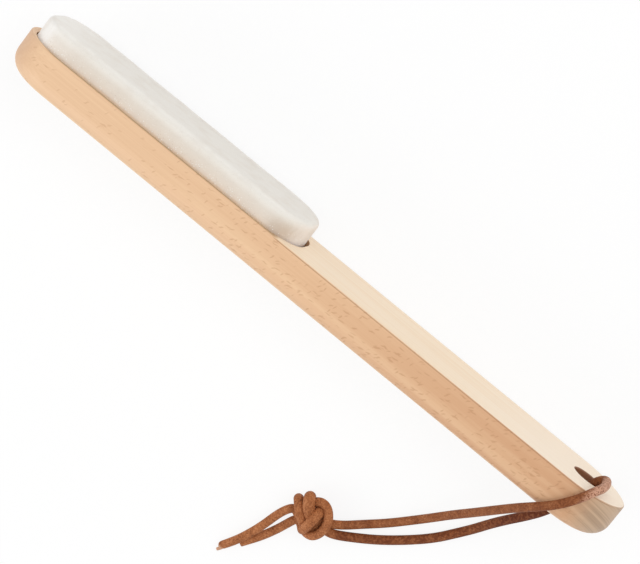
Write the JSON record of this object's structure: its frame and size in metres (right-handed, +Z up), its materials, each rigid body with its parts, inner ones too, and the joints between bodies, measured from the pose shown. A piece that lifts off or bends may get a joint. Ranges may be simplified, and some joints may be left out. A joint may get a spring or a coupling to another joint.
{
  "type": "foot file",
  "caption": "Flat round-ended wooden bar with a raised pumice stone set in its head for filing hard skin, and a knotted leather lace through its handle to hang it by.",
  "frame": {"origin": "on the floor under the bar, midway along its length and midway between its back and the stone's working face", "axes": "+X along the bar towards the head with the stone, -Y out of the stone's working face, +Z up with the bar standing on one long narrow edge"},
  "size_m": [0.24, 0.108, 0.0435],
  "materials": {
    "beech": "fine sanded, bare beech",
    "pumice": "matt, fine pored",
    "glue": "set clear glue",
    "lace": "dyed round leather, slight sheen"
  },
  "bodies": {
    "file": {"handle": "beech", "stone": "pumice", "glue_bed": "glue"},
    "hanging_loop": {"lace_upper_leg": "lace", "lace_lower_leg": "lace", "lace_knot": "lace", "lace_long_tail": "lace", "lace_short_tail": "lace"}
  },
  "joints": [
    {"name": "loop_swing", "type": "hinge", "parent": "file", "child": "hanging_loop", "pos_m": [-0.1086, -0.00285, 0.0185], "axis": [0, 0, 1], "range_deg": [-3, 20]}
  ]
}
